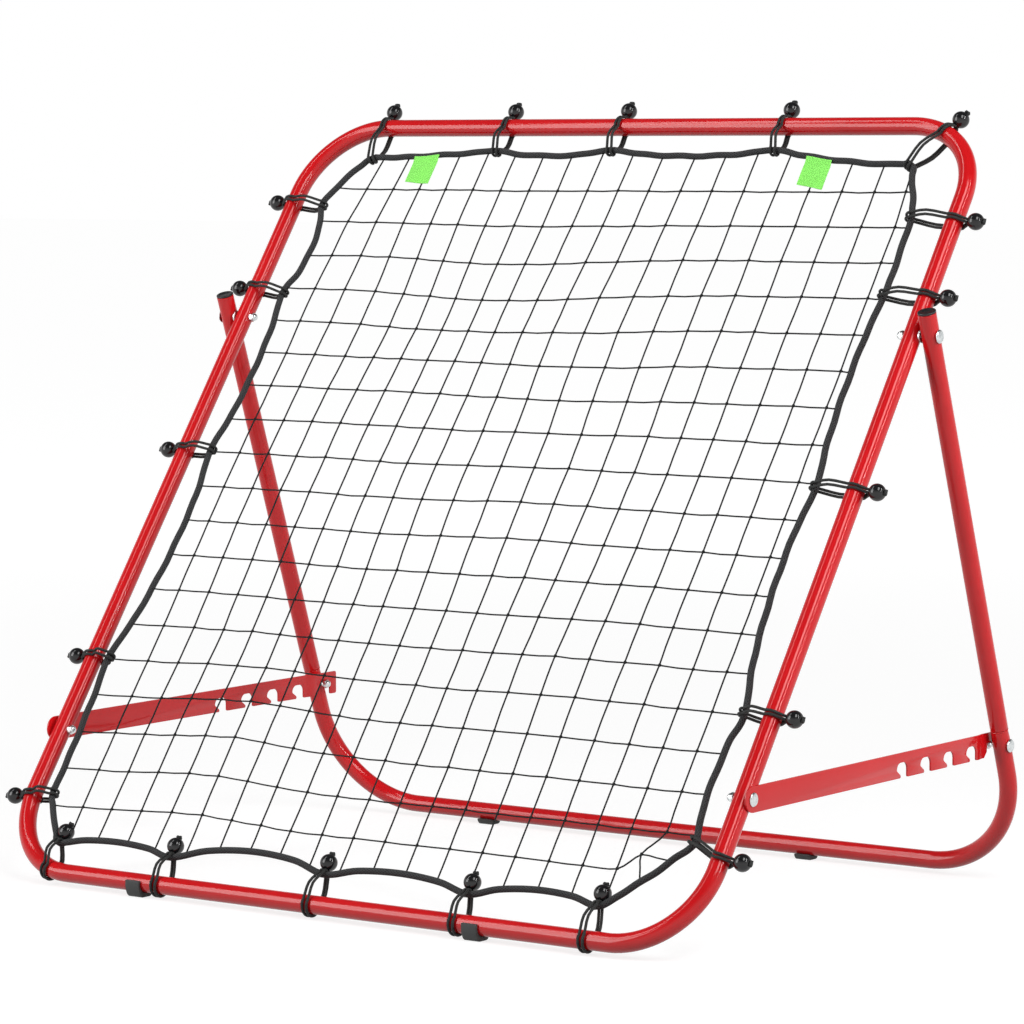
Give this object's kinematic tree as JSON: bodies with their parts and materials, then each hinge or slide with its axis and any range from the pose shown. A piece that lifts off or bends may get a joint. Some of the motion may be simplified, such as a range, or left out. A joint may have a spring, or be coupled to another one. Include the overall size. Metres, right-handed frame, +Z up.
{
  "type": "pitch back rebounder",
  "caption": "Leaning net rebounder: a bent steel tube frame, a square net hung in it on ball bungees, a folding rear stand, and notched side bars that set the lean.",
  "frame": {"origin": "on the floor, at the middle of the overall width and depth, with the frame at its stored lean", "axes": "+X to the right as a player faces the net, +Y away from the player towards the rear stand, +Z up"},
  "size_m": [1.084, 0.7288, 0.9447],
  "materials": {
    "red_paint": "gloss red powder coat",
    "bright_zinc": "bright zinc plate",
    "black_plastic": "semi-gloss moulded",
    "grey_rubber": "matt",
    "black_rope": "braided rope",
    "black_twine": "knotted twine",
    "black_bungee": "gloss ball on elastic cord",
    "green_cloth": "plain fluorescent cloth"
  },
  "bodies": {
    "front_net_frame": {"front_frame": "red_paint", "border_rope": "black_rope", "net": "black_twine", "tag_left": "green_cloth", "tag_right": "green_cloth", "foot_front_left": "grey_rubber", "foot_front_right": "grey_rubber", "pivot_bolt_left": "bright_zinc", "pivot_bolt_right": "bright_zinc", "pivot_nut_left": "bright_zinc", "pivot_nut_right": "bright_zinc", "pivot_washer_left": "bright_zinc", "pivot_washer_right": "bright_zinc", "bar_bolt_left": "bright_zinc", "bar_bolt_right": "bright_zinc", "bar_nut_left": "bright_zinc", "bar_nut_right": "bright_zinc", "bungee_top_1": "black_bungee", "bungee_top_2": "black_bungee", "bungee_top_3": "black_bungee", "bungee_top_4": "black_bungee", "bungee_top_5": "black_bungee", "bungee_right_1": "black_bungee", "bungee_right_2": "black_bungee", "bungee_right_3": "black_bungee", "bungee_right_4": "black_bungee", "bungee_right_5": "black_bungee", "bungee_bottom_1": "black_bungee", "bungee_bottom_2": "black_bungee", "bungee_bottom_3": "black_bungee", "bungee_bottom_4": "black_bungee", "bungee_bottom_5": "black_bungee", "bungee_left_1": "black_bungee", "bungee_left_2": "black_bungee", "bungee_left_3": "black_bungee", "bungee_left_4": "black_bungee", "bungee_left_5": "black_bungee"},
    "rear_stand": {"stand_tube": "red_paint", "rear_leg_left": "red_paint", "rear_leg_right": "red_paint", "leg_cap_left": "black_plastic", "leg_cap_right": "black_plastic", "foot_rear_left": "grey_rubber", "foot_rear_right": "grey_rubber", "lock_bolt_left": "bright_zinc", "lock_bolt_right": "bright_zinc", "lock_nut_left": "bright_zinc", "lock_nut_right": "bright_zinc"},
    "left_bar": {"notched_bar_left": "red_paint"},
    "right_bar": {"notched_bar_right": "red_paint"}
  },
  "joints": [
    {"name": "rear_fold", "type": "hinge", "parent": "front_net_frame", "child": "rear_stand", "pos_m": [0, 0.12002, 0.66938], "axis": [-1, 0, 0], "range_deg": [0, 47]},
    {"name": "left_bar_lift", "type": "hinge", "parent": "front_net_frame", "child": "left_bar", "pos_m": [-0.5123, -0.23694, 0.17153], "axis": [1, 0, 0], "range_deg": [0, 35.3]},
    {"name": "right_bar_lift", "type": "hinge", "parent": "front_net_frame", "child": "right_bar", "pos_m": [0.5123, -0.23694, 0.17153], "axis": [1, 0, 0], "range_deg": [0, 35.3]}
  ],
  "couplings": [
    {"joint": "left_bar_lift", "follows": "rear_fold", "ratio": 0.75},
    {"joint": "right_bar_lift", "follows": "rear_fold", "ratio": 0.75}
  ]
}
